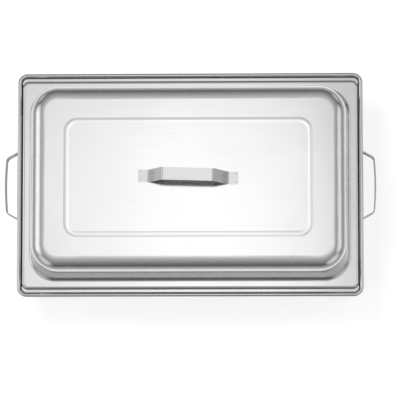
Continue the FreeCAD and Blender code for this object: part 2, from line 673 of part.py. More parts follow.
def lid_shell():
    wall = "Dims.lid_sheet"
    slope = "(Dims.dome_lean / Dims.dome_rise)"
    lean_gap = f"({wall} * (sqrt(1 + {slope} ^ 2) - {slope}))"
    outside = lid_form("lid_form", f"-{LIP_DEPTH}", "0", "0", "0")
    core = lid_form("lid_core", f"-{LIP_DEPTH} - {wall}", f"-{wall}", wall, lean_gap)
    place(skin("lid_shell", outside, core), z=LID_FLANGE_TOP)


# Lid handle, a strip with two feet and two ramps


def lid_handle():
    body = new_body("lid_handle")
    half = "(Dims.strap_length / 2)"
    knee = f"({half} - Dims.foot_run)"
    crest = "(Dims.grip_run / 2)"
    rise = "Dims.grip_rise"
    corners = [(f"-{half}", "0"), (f"-{knee}", "0"), (f"-{crest}", rise),
               (crest, rise), (knee, "0"), (half, "0")]
    inner = "Dims.strap_bend"
    outer = "(Dims.strap_bend + Dims.strap_sheet)"
    outline = bent_strip(body, "strap_outline", "XZ_Plane", corners, [outer, inner, inner, outer],
                         "Dims.strap_sheet", 1)
    pad(body, "strap", outline, "Dims.strap_width", symmetric=True)
    bend(body, "foot_corners", "Dims.foot_corner", upright)
    mark_x = f"({half} - Dims.weld_from_end)"
    mark_y = "Dims.weld_spread / 2"
    marks = [(x, y, "Dims.weld_radius") for x in (mark_x, f"-{mark_x}") for y in (mark_y, f"-{mark_y}")]
    dimples = circles(body, "weld_marks", "XY_Plane", marks, lift="Dims.strap_sheet")
    pocket(body, "weld_dimples", dimples, "Dims.weld_depth")
    place(body, z=CROWN_TOP, turn="-Dims.strap_skew")


# Frame: band, side handles, legs and their caps


def frame_band():
    body = new_body("frame_band")
    outline = rounded_outline(body, "outer_outline", "0", BAND_LENGTH, BAND_WIDTH, "Dims.band_corner")
    pad(body, "band", outline, "Dims.band_height")
    inner = rounded_outline(body, "inner_outline", "Dims.band_height",
                            grown(BAND_LENGTH, "-Dims.band_sheet"),
                            grown(BAND_WIDTH, "-Dims.band_sheet"), "Dims.band_corner - Dims.band_sheet")
    pocket(body, "opening", inner, "Dims.band_height")
    hole = "Dims.rivet_radius"
    middle = "Dims.band_height / 2"
    side_x = f"({LEG_X} - Dims.rivet_reach)"
    end_y = f"({LEG_Y} - Dims.rivet_reach)"
    side_holes = circles(body, "side_holes", "XZ_Plane", [(side_x, middle, hole), (f"-{side_x}", middle, hole)])
    pocket(body, "side_rivet_holes", side_holes, f"{BAND_WIDTH} + 2", symmetric=True)
    end_holes = circles(body, "end_holes", "YZ_Plane", [(end_y, middle, hole), (f"-{end_y}", middle, hole)])
    pocket(body, "end_rivet_holes", end_holes, f"{BAND_LENGTH} + 2", symmetric=True)
    place(body, z=f"{BAND_TOP} - Dims.band_height")


def side_handle(name, turn):
    """Strip on edge, bent into a loop with a foot at each end, flat on the band's end face."""
    body = new_body(name)
    sheet = "Dims.loop_sheet"
    seat = f"({BAND_LENGTH} / 2)"
    half_grip = "(Dims.loop_grip / 2)"
    crown_drop = f"(Dims.bow_radius * (sqrt(1 + (Dims.bar_bow / {half_grip}) ^ 2) - 1))"
    crest = f"(Dims.overall_length / 2 - {sheet} + {crown_drop})"
    elbow = f"({crest} - Dims.bar_bow)"
    inner_foot = "(Dims.loop_foot_spread / 2)"
    outer_foot = f"({inner_foot} + Dims.loop_foot_run)"
    corners = [(seat, f"-{outer_foot}"), (seat, f"-{inner_foot}"), (elbow, f"-{half_grip}"), (crest, "0"),
               (elbow, half_grip), (seat, inner_foot), (seat, outer_foot)]
    inner = "Dims.loop_bend"
    outer = f"(Dims.loop_bend + {sheet})"
    outline = bent_strip(body, "loop_outline", "XY_Plane", corners,
                         [outer, inner, "Dims.bow_radius", inner, outer], sheet, -1)
    pad(body, "loop", outline, "Dims.loop_height", symmetric=True)
    place(body, z=BAND_MIDDLE, turn=turn)


def leg_section(body, name, reach, wall, corner, out="0", play="0", lift="0"):
    """L-section with a round outer corner at the origin, its faces moved out by out."""
    far = f"-({reach})"
    edge = f"({out})"
    inner = f"(-({wall}) - ({play}))"
    return corner_strip(body, name, far, edge, inner, corner, lift)


def corner_strip(body, name, far, edge, inner, corner, lift):
    """L-shaped outline: outer faces at edge, inner faces at inner, both flanges ending at far."""
    sketch = new_sketch(body, name, "XY_Plane", lift)
    e = value(edge)
    n = value(inner)
    f = value(far)
    r = value(corner)
    centre = point(e - r, e - r)
    lines = (
        ((f, e), (e - r, e)),
        ((e, e - r), (e, f)),
        ((e, f), (n, f)),
        ((n, f), (n, e - r)),
        ((e - r, n), (f, n)),
        ((f, n), (f, e)),
    )
    for start, stop in lines:
        sketch.addGeometry(Part.LineSegment(point(*start), point(*stop)), False)
    for radius in (r, n - (e - r)):
        circle = Part.Circle(centre, FreeCAD.Vector(0, 0, 1), radius)
        sketch.addGeometry(Part.ArcOfCircle(circle, 0, math.pi / 2), False)
    tie(sketch, "Tangent", 0, 2, 6, 2)
    tie(sketch, "Tangent", 6, 1, 1, 1)
    tie(sketch, "Tangent", 3, 2, 7, 1)
    tie(sketch, "Tangent", 7, 2, 4, 1)
    for one, other in ((1, 2), (2, 3), (4, 5), (5, 0)):
        tie(sketch, "Coincident", one, 2, other, 1)
    tie(sketch, "Coincident", 6, 3, 7, 3)
    for index in (0, 2, 4):
        tie(sketch, "Horizontal", index)
    for index in (1, 3, 5):
        tie(sketch, "Vertical", index)
    pin_point(sketch, "level_end", 0, 1, far, edge)
    pin_point(sketch, "upright_end", 2, 1, edge, far)
    bind(sketch, "inner", inner, "DistanceX", -1, 1, 3, 1)
    bind(sketch, "corner", corner, "Radius", 6)
    return sketch


LEG_CORNER = "(Dims.band_corner + Dims.leg_sheet)"


def gusset_cut(body, name, role):
    """Outline of what is cut off one flange: a hollow curve under the wide top, then a taper."""
    sketch = new_sketch(body, name, role)
    hollow = "(Dims.leg_top_reach - Dims.leg_neck_reach)"
    shelf = f"({LEG_HEIGHT} - Dims.gusset_height)"
    top_reach = value("Dims.leg_top_reach")
    neck = value("Dims.leg_neck_reach")
    foot = value("Dims.leg_foot_reach")
    radius = value(hollow)
    high = value(shelf)
    low = high - radius
    circle = Part.Circle(point(-top_reach, low), FreeCAD.Vector(0, 0, 1), radius)
    sketch.addGeometry(Part.ArcOfCircle(circle, 0, math.pi / 2), False)
    for start, stop in (((-neck, low), (-foot, 0)), ((-foot, 0), (-top_reach, 0)), ((-top_reach, 0), (-top_reach, high))):
        sketch.addGeometry(Part.LineSegment(point(*start), point(*stop)), False)
    tie(sketch, "Coincident", 0, 1, 1, 1)
    tie(sketch, "Coincident", 1, 2, 2, 1)
    tie(sketch, "Coincident", 2, 2, 3, 1)
    tie(sketch, "Coincident", 3, 2, 0, 2)
    pin_point(sketch, "hollow_middle", 0, 3, "-Dims.leg_top_reach", f"{shelf} - {hollow}")
    bind(sketch, "hollow", hollow, "Radius", 0)
    bind(sketch, "hollow_end", f"{shelf} - {hollow}", "DistanceY", -1, 1, 0, 1)
    tie(sketch, "Vertical", 3)
    pin_point(sketch, "foot", 2, 1, "-Dims.leg_foot_reach", "0")
    pin_point(sketch, "outer_foot", 2, 2, "-Dims.leg_top_reach", "0")
    return sketch


CORNERS = (
    ("rear_right", LEG_X, LEG_Y, 0),
    ("rear_left", f"-{LEG_X}", LEG_Y, 90),
    ("front_left", f"-{LEG_X}", f"-{LEG_Y}", 180),
    ("front_right", LEG_X, f"-{LEG_Y}", 270),
)


def leg(corner, x, y, turn):
    """Pressed angle leg, about its outer corner; the turn puts the same form at each corner."""
    body = new_body(f"leg_{corner}")
    section = leg_section(body, "section", "Dims.leg_top_reach", "Dims.leg_sheet", LEG_CORNER)
    pad(body, "blank", section, LEG_HEIGHT)
    depth = "2 * Dims.leg_top_reach"
    for side, role in (("level", "XZ_Plane"), ("upright", "YZ_Plane")):
        outline = gusset_cut(body, f"{side}_taper", role)
        pocket(body, f"{side}_flange_taper", outline, depth, symmetric=True)
    hole_z = f"({BAND_MIDDLE} - Dims.cap_floor)"
    for side, role in (("level", "XZ_Plane"), ("upright", "YZ_Plane")):
        hole = circles(body, f"{side}_rivet", role, [("-Dims.rivet_reach", hole_z, "Dims.rivet_radius")])
        pocket(body, f"{side}_rivet_hole", hole, "4 * Dims.leg_sheet", symmetric=True)
    # The cross bar's screw goes through the flange at the dish's end.
    end_role = "YZ_Plane" if turn % 180 == 0 else "XZ_Plane"
    screw_z = f"({BAR_SCREW_Z} - Dims.cap_floor)"
    screw = circles(body, "bar_screw", end_role,
                    [("-Dims.bar_screw_reach", screw_z, "Dims.screw_radius + Dims.screw_play")])
    pocket(body, "bar_screw_hole", screw, "4 * Dims.leg_sheet", symmetric=True)
    place(body, x, y, "Dims.cap_floor", turn=str(turn))


def foot_cap(corner, x, y, turn):
    """Moulded cap that the leg's foot stands in, flat on the table."""
    body = new_body(f"foot_cap_{corner}")
    rise = f"(({LEG_HEIGHT}) - Dims.gusset_height - Dims.leg_top_reach + Dims.leg_neck_reach)"
    spread = "(Dims.leg_neck_reach - Dims.leg_foot_reach)"
    reach = f"(Dims.leg_foot_reach + {spread} * (Dims.cap_height - Dims.cap_floor) / {rise} + Dims.cap_play)"
    block = leg_section(body, "block_outline", f"{reach} + Dims.cap_wall", "Dims.leg_sheet",
                        f"{LEG_CORNER} + Dims.cap_wall", out="Dims.cap_wall", play="Dims.cap_wall")
    pad(body, "block", block, "Dims.cap_height")
    slot = leg_section(body, "slot_outline", reach, "Dims.leg_sheet", f"{LEG_CORNER} + Dims.cap_play",
                       out="Dims.cap_play", play="Dims.cap_play", lift="Dims.cap_height")
    pocket(body, "slot", slot, "Dims.cap_height - Dims.cap_floor")
    place(body, x, y, turn=str(turn))


def leg_rivets():
    """Two rivets at each leg, one through each flange and the band behind it."""
    body = new_body("leg_rivets")
    grip = "(Dims.leg_sheet + Dims.band_sheet)"
    tail = f"({grip} + Dims.rivet_tail_rise)"

    def profile(outward):
        rows = [("Dims.rivet_head_rise", "0"), ("Dims.rivet_head_rise / 2", "Dims.rivet_head_radius * 0.8"),
                ("0", "Dims.rivet_head_radius"), ("0", "Dims.rivet_radius"), (f"-{grip}", "Dims.rivet_radius"),
                (f"-{grip}", "Dims.rivet_tail_radius"), (f"-{tail}", "Dims.rivet_tail_radius"),
                (f"-{tail}", "0")]
        return [(across, along) if outward == "up" else (along, across) for along, across in rows]

    side = polygon(body, "side_rivet", "XY_Plane", profile("up"), lift=BAND_MIDDLE,
                   right=f"{LEG_X} - Dims.rivet_reach", up=LEG_Y)
    revolve(body, "side_rivets", side)
    end = polygon(body, "end_rivet", "XY_Plane", profile("right"), lift=BAND_MIDDLE,
                  right=LEG_X, up=f"{LEG_Y} - Dims.rivet_reach")
    revolve(body, "end_rivets", end, "H_Axis")
    mirror(body, "left_and_right", "YZ_Plane")
    mirror(body, "front_and_rear", "XZ_Plane")


# Cross bars and burner shelf


def cross_bar(name, turn):
    """Angle bar between the legs of one end; the shelf rests on its level flange."""
    body = new_body(name)
    back = f"{BAND_LENGTH} / 2"
    corners = [(back, "0"), (back, "-Dims.bar_height"), (f"{back} - Dims.bar_sheet", "-Dims.bar_height"),
               (f"{back} - Dims.bar_sheet", "-Dims.bar_sheet"), (f"{back} - Dims.bar_ledge", "-Dims.bar_sheet"),
               (f"{back} - Dims.bar_ledge", "0")]
    section = polygon(body, "section", "XZ_Plane", corners)
    pad(body, "angle", section, f"{BAND_WIDTH} - 2 * Dims.band_corner", symmetric=True)
    hole = "Dims.screw_radius + Dims.screw_play"
    screws = circles(body, "leg_screws", "YZ_Plane",
                     [(BAR_SCREW_Y, "-Dims.bar_screw_drop", hole), (f"-{BAR_SCREW_Y}", "-Dims.bar_screw_drop", hole)],
                     lift=back)
    pocket(body, "leg_screw_holes", screws, "2 * Dims.bar_sheet")
    spread = "Dims.shelf_screw_spread / 2"
    seats = circles(body, "shelf_screws", "XY_Plane",
                    [(SHELF_SCREW_X, spread, hole), (SHELF_SCREW_X, f"-{spread}", hole)])
    pocket(body, "shelf_screw_holes", seats, "2 * Dims.bar_sheet")
    place(body, z=BAR_TOP, turn=turn)


def burner_shelf():
    """Channel with turned-down sides and a drawn hole for each fuel holder, about its upper face."""
    body = new_body("burner_shelf")
    sheet = "Dims.shelf_sheet"
    side = "(Dims.shelf_width / 2)"
    inner = f"({side} - {sheet})"
    channel = polygon(body, "channel_section", "YZ_Plane",
                      [(f"-{side}", "0"), (side, "0"), (side, "-Dims.shelf_drop"), (inner, "-Dims.shelf_drop"),
                       (inner, f"-{sheet}"), (f"-{inner}", f"-{sheet}"), (f"-{inner}", "-Dims.shelf_drop"),
                       (f"-{side}", "-Dims.shelf_drop")])
    channel_length = f"({BAND_LENGTH} - 2 * (Dims.bar_ledge + Dims.shelf_side_gap))"
    pad(body, "channel", channel, channel_length, symmetric=True)
    plate_length = f"({BAND_LENGTH} - 2 * (Dims.bar_sheet + Dims.shelf_end_gap))"
    tongue_side = f"({inner} - Dims.shelf_bend)"
    plate = rounded_outline(body, "plate_outline", f"-{sheet}", plate_length, f"2 * {tongue_side}",
                            "Dims.shelf_corner")
    pad(body, "plate", plate, sheet)
    inner_y = value(inner)
    side_y = value(side)
    flat = value(sheet)
    bend(body, "inner_bends", "Dims.shelf_bend", along_x(inner_y, -flat))
    bend(body, "outer_bends", f"Dims.shelf_bend + {sheet}", along_x(side_y, 0))
    hole = "(Dims.cup_radius + Dims.hole_play)"
    offset = "Dims.burner_spacing / 2"
    places = ((offset, "0"), (f"-{offset}", "0"))
    collars = circles(body, "collar_outline", "XY_Plane", [(x, y, f"{hole} + {sheet}") for x, y in places])
    pad(body, "collars", collars, "Dims.hole_collar", downward=True)
    holes = circles(body, "cup_holes", "XY_Plane", [(x, y, hole) for x, y in places])
    pocket(body, "cup_openings", holes, "2 * Dims.hole_collar")
    spread = "Dims.shelf_screw_spread / 2"
    ends = [(x, y, "Dims.screw_radius + Dims.screw_play")
            for x in (SHELF_SCREW_X, f"-{SHELF_SCREW_X}") for y in (spread, f"-{spread}")]
    screws = circles(body, "screw_spots", "XY_Plane", ends)
    pocket(body, "screw_holes", screws, f"2 * {sheet}")
    place(body, z="Dims.shelf_top")


def along_x(y, z):
    """Test for straight edges along X at a distance y from the middle and a height z."""

    def chosen(edge):
        box = edge.BoundBox
        level_line = box.YLength < 0.001 and box.ZLength < 0.001
        return level_line and abs(abs(box.YMin) - y) < 0.001 and abs(box.ZMin - z) < 0.001

    return chosen


def screw_rows(grip):
    """Half outline of a frame screw as pairs along and across its axis, head up from zero."""
    end = f"({grip} + Dims.nut_rise + Dims.screw_past_nut)"
    return [("Dims.screw_head_rise", "0"), ("Dims.screw_head_rise", "Dims.screw_head_radius * 0.55"),
            ("Dims.screw_head_rise * 0.6", "Dims.screw_head_radius * 0.88"), ("0", "Dims.screw_head_radius"),
            ("0", "Dims.screw_radius"), (f"-{end}", "Dims.screw_radius"), (f"-{end}", "0")]


def hexagon(across):
    """Six corners of a nut, as expressions."""
    radius = f"({across}) / sqrt(3)"
    return [(f"{radius} * cos({60 * step} deg)", f"{radius} * sin({60 * step} deg)") for step in range(6)]


def bar_screws():
    grip = "(Dims.leg_sheet + Dims.bar_sheet)"
    body = new_body("bar_screws")
    outline = polygon(body, "screw_outline", "XZ_Plane", screw_rows(grip), lift=f"-{BAR_SCREW_Y}",
                      right=LEG_X, up=BAR_SCREW_Z)
    revolve(body, "screw", outline, "H_Axis")
    mirror(body, "left_and_right", "YZ_Plane")
    mirror(body, "front_and_rear", "XZ_Plane")
    nuts = new_body("bar_nuts")
    inner = f"({BAND_LENGTH} / 2 - Dims.bar_sheet)"
    blank = polygon(nuts, "nut_outline", "YZ_Plane", hexagon("Dims.nut_across"), lift=inner,
                    right=BAR_SCREW_Y, up=BAR_SCREW_Z)
    pad(nuts, "nut", blank, "Dims.nut_rise", downward=True)
    hole = circles(nuts, "nut_hole", "YZ_Plane", [(BAR_SCREW_Y, BAR_SCREW_Z, "Dims.screw_radius")], lift=inner)
    pocket(nuts, "thread_hole", hole, "2 * Dims.nut_rise")
    mirror(nuts, "left_and_right", "YZ_Plane")
    mirror(nuts, "front_and_rear", "XZ_Plane")


def shelf_screws():
    grip = "(Dims.shelf_sheet + Dims.bar_sheet)"
    spread = "Dims.shelf_screw_spread / 2"
    body = new_body("shelf_screws")
    rows = [(across, along) for along, across in screw_rows(grip)]
    outline = polygon(body, "screw_outline", "XZ_Plane", rows, lift=f"-{spread}",
                      right=SHELF_SCREW_X, up="Dims.shelf_top")
    revolve(body, "screw", outline)
    mirror(body, "left_and_right", "YZ_Plane")
    mirror(body, "front_and_rear", "XZ_Plane")
    nuts = new_body("shelf_nuts")
    under = f"({BAR_TOP} - Dims.bar_sheet)"
    blank = polygon(nuts, "nut_outline", "XY_Plane", hexagon("Dims.nut_across"), lift=under,
                    right=SHELF_SCREW_X, up=spread)
    pad(nuts, "nut", blank, "Dims.nut_rise", downward=True)
    hole = circles(nuts, "nut_hole", "XY_Plane", [(SHELF_SCREW_X, spread, "Dims.screw_radius")], lift=under)
    pocket(nuts, "thread_hole", hole, "2 * Dims.nut_rise")
    mirror(nuts, "left_and_right", "YZ_Plane")
    mirror(nuts, "front_and_rear", "XZ_Plane")


# Fuel holders, each about the middle of its hole at the shelf's upper face


def fuel_cup(side, x):
    """Deep-drawn cup that hangs by its flange; the flange's edge turns down onto the shelf."""
    body = new_body(f"fuel_cup_{side}")
    sheet = "Dims.cup_sheet"
    wall = "Dims.cup_radius"
    inner = f"({wall} - {sheet})"
    edge = "(Dims.cup_radius + Dims.cup_flange)"
    floor = "-Dims.cup_depth"
    chamfer = "Dims.cup_chamfer"
    under = f"(Dims.cup_rise - {sheet})"
    profile = polygon(body, "profile", "XZ_Plane",
                      [("0", floor), (f"{wall} - {chamfer}", floor), (wall, f"{floor} + {chamfer}"),
                       (wall, under), (f"{edge} - {sheet}", under), (f"{edge} - {sheet}", "0"), (edge, "0"),
                       (edge, "Dims.cup_rise"), (inner, "Dims.cup_rise"),
                       (inner, f"{floor} + {chamfer} + {sheet} * 0.41"),
                       (f"{wall} - {chamfer} - {sheet} * 0.41", f"{floor} + {sheet}"), ("0", f"{floor} + {sheet}")])
    revolve(body, "cup", profile)
    place(body, x, z="Dims.shelf_top")


def fuel_cover(side, x):
    body = new_body(f"fuel_cover_{side}")
    sheet = "Dims.cover_sheet"
    lip = "(Dims.cup_radius + Dims.cup_flange + Dims.cover_play)"
    low = "(Dims.cup_rise - Dims.cover_lip)"
    profile = polygon(body, "profile", "XZ_Plane",
                      [("Dims.flame_radius", "Dims.cup_rise"), (lip, "Dims.cup_rise"), (lip, low),
                       (f"{lip} + {sheet}", low), (f"{lip} + {sheet}", COVER_TOP),
                       ("Dims.flame_radius", COVER_TOP)])
    revolve(body, "cover", profile)
    bend(body, "edge_bend", f"1.5 * {sheet}", ring_edge(COVER_TOP, f"{lip} + {sheet}"))
    pivot = circles(body, "pivot", "XY_Plane", [("0", "Dims.pivot_reach", "Dims.pivot_radius")], lift=COVER_TOP)
    pocket(body, "pivot_hole", pivot, f"2 * {sheet}")
    place(body, x, z="Dims.shelf_top")


def damper_pivot(side, x):
    body = new_body(f"damper_pivot_{side}")
    top = f"({DAMPER_TOP} + Dims.damper_gap)"
    head = "Dims.pivot_head_radius"
    shank = "Dims.pivot_radius"
    low = "(Dims.cup_rise - Dims.pivot_head_rise / 2)"
    profile = polygon(body, "profile", "XZ_Plane",
                      [("0", low), (f"{head} * 0.8", low), (f"{head} * 0.8", "Dims.cup_rise"),
                       (shank, "Dims.cup_rise"), (shank, top), (head, top),
                       (f"{head} * 0.8", f"{top} + Dims.pivot_head_rise * 0.6"),
                       (f"{head} * 0.4", f"{top} + Dims.pivot_head_rise"),
                       ("0", f"{top} + Dims.pivot_head_rise")])
    revolve(body, "rivet", profile)
    place(body, x, "Dims.pivot_reach", "Dims.shelf_top")


def damper_outline(body):
    """Round plate and small ear joined by two straight sides, about the pivot."""
    sketch = new_sketch(body, "plate_outline", "XY_Plane")
    plate = value("Dims.damper_radius")
    ear = value("Dims.damper_ear")
    reach = value("Dims.pivot_reach")
    lean = math.asin((plate - ear) / reach)
    up = FreeCAD.Vector(0, 0, 1)
    centre = point(0, -reach)
    sketch.addGeometry(Part.ArcOfCircle(Part.Circle(centre, up, plate), math.pi - lean, 2 * math.pi + lean), False)
    sketch.addGeometry(Part.ArcOfCircle(Part.Circle(point(0, 0), up, ear), lean, math.pi - lean), False)
    for end_plate, end_ear in (("EndPoint", "StartPoint"), ("StartPoint", "EndPoint")):
        start = getattr(sketch.Geometry[0], end_plate)
        stop = getattr(sketch.Geometry[1], end_ear)
        sketch.addGeometry(Part.LineSegment(start, stop), False)
    tie(sketch, "Tangent", 0, 2, 2, 1)
    tie(sketch, "Tangent", 2, 2, 1, 1)
    tie(sketch, "Tangent", 0, 1, 3, 1)
    tie(sketch, "Tangent", 3, 2, 1, 2)
    pin_point(sketch, "plate_middle", 0, 3, "0", "-Dims.pivot_reach")
    pin_point(sketch, "ear_middle", 1, 3, "0", "0")
    bind(sketch, "plate", "Dims.damper_radius", "Radius", 0)
    bind(sketch, "ear", "Dims.damper_ear", "Radius", 1)
    return sketch


def damper(side, x):
    body = new_body(f"damper_{side}")
    pad(body, "plate", damper_outline(body), "Dims.damper_sheet")
    knob_y = "-(Dims.pivot_reach + Dims.knob_reach)"
    holes = circles(body, "holes", "XY_Plane",
                    [("0", "0", "Dims.pivot_radius + Dims.pivot_play"), ("0", knob_y, "Dims.knob_stud_radius")],
                    lift="Dims.damper_sheet")
    pocket(body, "pivot_and_stud_holes", holes, "2 * Dims.damper_sheet")
    place(body, x, "Dims.pivot_reach", f"Dims.shelf_top + {DAMPER_BASE}", turn="Dims.damper_open")


def damper_knob(side, x):
    body = new_body(f"damper_knob_{side}")
    sheet = "Dims.damper_sheet"
    neck = "Dims.knob_neck_radius"
    rise = "Dims.knob_rise"
    profile = polygon(body, "profile", "XZ_Plane",
                      [("0", f"-{sheet}"), ("Dims.knob_stud_radius", f"-{sheet}"), ("Dims.knob_stud_radius", "0"),
                       (neck, "0"), (neck, f"{rise} * 0.25"), ("Dims.knob_radius", f"{rise} * 0.5"),
                       ("Dims.knob_radius", f"{rise} * 0.75"), (f"Dims.knob_radius * 0.86", f"{rise} * 0.93"),
                       ("Dims.knob_radius * 0.6", rise), ("0", rise)])
    revolve(body, "knob", profile)
    arm = "(Dims.pivot_reach + Dims.knob_reach)"
    turn = "Dims.damper_open * 1 deg"
    place(body, f"{x} + {arm} * sin({turn})", f"Dims.pivot_reach - {arm} * cos({turn})",
          f"Dims.shelf_top + {DAMPER_TOP}")


water_pan()
food_pan()
lid_shell()
lid_handle()
frame_band()
side_handle("side_handle_right", "0")
side_handle("side_handle_left", "180")
for corner in CORNERS:
    leg(*corner)
    foot_cap(*corner)
leg_rivets()
cross_bar("cross_bar_right", "0")
cross_bar("cross_bar_left", "180")
burner_shelf()
bar_screws()
shelf_screws()
for side, x in (("right", "Dims.burner_spacing / 2"), ("left", "-Dims.burner_spacing / 2")):
    fuel_cup(side, x)
    fuel_cover(side, x)
    damper_pivot(side, x)
    damper(side, x)
    damper_knob(side, x)

doc.recompute()
for thing in doc.Objects:
    if "Invalid" in thing.State or "Error" in thing.State:
        raise RuntimeError(f"{thing.Label} failed: {thing.State}")
for name, thing in nodes.items():
    if thing.Shape.isNull() or not thing.Shape.isValid() or not thing.Shape.Solids:
        raise RuntimeError(f"{name} has no valid shape")

os.makedirs("parts", exist_ok=True)
for name, thing in nodes.items():
    thing.Shape.exportStep(f"parts/{name}.step")
    box = thing.Shape.BoundBox
    print(f"{name}: {box.XLength:.1f} x {box.YLength:.1f} x {box.ZLength:.1f}, {len(thing.Shape.Solids)} solid(s)")
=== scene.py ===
import bpy
import math
from mathutils import Matrix, Vector

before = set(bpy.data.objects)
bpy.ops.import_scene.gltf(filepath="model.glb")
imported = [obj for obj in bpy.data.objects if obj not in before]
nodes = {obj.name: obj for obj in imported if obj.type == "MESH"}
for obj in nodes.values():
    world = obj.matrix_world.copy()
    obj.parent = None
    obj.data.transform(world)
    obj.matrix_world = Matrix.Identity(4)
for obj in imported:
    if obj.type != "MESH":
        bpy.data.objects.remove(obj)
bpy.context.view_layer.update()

scene = bpy.context.scene
print("frame loaded:", len(nodes), "pieces")


# small helpers for the material nodes

def addNode(tree, kind, label, place=(0, 0), **settings):
    node = tree.nodes.new(kind)
    node.label = label
    node.location = place
    for key, setting in settings.items():
        setattr(node, key, setting)
    return node


def connect(tree, source, output, target, socket):
    tree.links.new(source.outputs[output], target.inputs[socket])


def mathNode(tree, operation, label, first, second=None, place=(0, 0), clamp=False):
    # first and second are numbers or (node, output) pairs
    node = addNode(tree, "ShaderNodeMath", label, place, operation=operation, use_clamp=clamp)
    for index, entry in enumerate((first, second)):
        if isinstance(entry, tuple):
            tree.links.new(entry[0].outputs[entry[1]], node.inputs[index])
        elif entry is not None:
            node.inputs[index].default_value = entry
    return node


def rangeNode(tree, label, source, fromLow, fromHigh, toLow, toHigh, place=(0, 0), smooth=False):
    node = addNode(tree, "ShaderNodeMapRange", label, place)
    node.interpolation_type = "SMOOTHSTEP" if smooth else "LINEAR"
    tree.links.new(source[0].outputs[source[1]], node.inputs["Value"])
    limits = {"From Min": fromLow, "From Max": fromHigh, "To Min": toLow, "To Max": toHigh}
    for socket, number in limits.items():
        node.inputs[socket].default_value = number
    return node


def newGroup(name, inputs, outputs):
    # inputs are (name, kind, default) and outputs are (name, kind)
    group = bpy.data.node_groups.new(name, "ShaderNodeTree")
    for label, kind, default in inputs:
        socket = group.interface.new_socket(label, in_out="INPUT", socket_type=kind)
        if default is not None:
            socket.default_value = default
    for label, kind in outputs:
        group.interface.new_socket(label, in_out="OUTPUT", socket_type=kind)
    start = addNode(group, "NodeGroupInput", "in", (-1200, 0))
    end = addNode(group, "NodeGroupOutput", "out", (900, 0))
    return group, start, end


# shared effects, each built once

def makeSheetGrain():
    # fine rolling lines of the sheet: along X on level faces and long walls, down the end walls
    group, start, end = newGroup(
        "sheetGrain",
        [("Vector", "NodeSocketVector", None), ("Normal", "NodeSocketVector", None),
         ("Along", "NodeSocketFloat", 10.0), ("Across", "NodeSocketFloat", 500.0)],
        [("Grain", "NodeSocketFloat")])
    spot = addNode(group, "ShaderNodeSeparateXYZ", "place", (-1000, 200))
    facing = addNode(group, "ShaderNodeSeparateXYZ", "facing", (-1000, -300))
    connect(group, start, "Vector", spot, "Vector")
    connect(group, start, "Normal", facing, "Vector")
    along = {axis: mathNode(group, "MULTIPLY", axis + " along", (spot, axis), (start, "Along"))
             for axis in "XZ"}
    across = {axis: mathNode(group, "MULTIPLY", axis + " across", (spot, axis), (start, "Across"))
              for axis in "YZ"}
    grains = {}
    for side, (first, second, layer) in {"level": (along["X"], across["Y"], 0.0),
                                         "long": (along["X"], across["Z"], 7.3),
                                         "end": (along["Z"], across["Y"], 3.1)}.items():
        flat = addNode(group, "ShaderNodeCombineXYZ", side + " lines")
        connect(group, first, 0, flat, "X")
        connect(group, second, 0, flat, "Y")
        flat.inputs["Z"].default_value = layer
        lines = addNode(group, "ShaderNodeTexNoise", side + " grain")
        lines.inputs["Scale"].default_value = 1.0
        lines.inputs["Detail"].default_value = 3.0
        lines.inputs["Roughness"].default_value = 0.62
        connect(group, flat, 0, lines, "Vector")
        grains[side] = lines
    turnedY = mathNode(group, "ABSOLUTE", "faces the long side", (facing, "Y"))
    turnedX = mathNode(group, "ABSOLUTE", "faces an end", (facing, "X"))
    longShare = rangeNode(group, "long wall share", (turnedY, 0), 0.55, 0.8, 0.0, 1.0, smooth=True)
    endShare = rangeNode(group, "end wall share", (turnedX, 0), 0.55, 0.8, 0.0, 1.0, smooth=True)
    first = addNode(group, "ShaderNodeMix", "level or long")
    connect(group, longShare, 0, first, "Factor")
    connect(group, grains["level"], "Fac", first, "A")
    connect(group, grains["long"], "Fac", first, "B")
    second = addNode(group, "ShaderNodeMix", "or end")
    connect(group, endShare, 0, second, "Factor")
    connect(group, first, "Result", second, "A")
    connect(group, grains["end"], "Fac", second, "B")
    connect(group, second, "Result", end, "Grain")
    return group


def makeWipeMarks():
    # soft cloudy patches that cleaning cloths leave
    group, start, end = newGroup(
        "wipeMarks",
        [("Vector", "NodeSocketVector", None), ("Scale", "NodeSocketFloat", 9.0)],
        [("Marks", "NodeSocketFloat")])
    cloud = addNode(group, "ShaderNodeTexNoise", "cloud", (-700, 100))
    cloud.inputs["Detail"].default_value = 4.0
    cloud.inputs["Distortion"].default_value = 0.7
    connect(group, start, "Vector", cloud, "Vector")
    connect(group, start, "Scale", cloud, "Scale")
    soft = rangeNode(group, "soft patches", (cloud, "Fac"), 0.35, 0.68, 0.0, 1.0, (-400, 100), smooth=True)
    connect(group, soft, 0, end, "Marks")
    return group


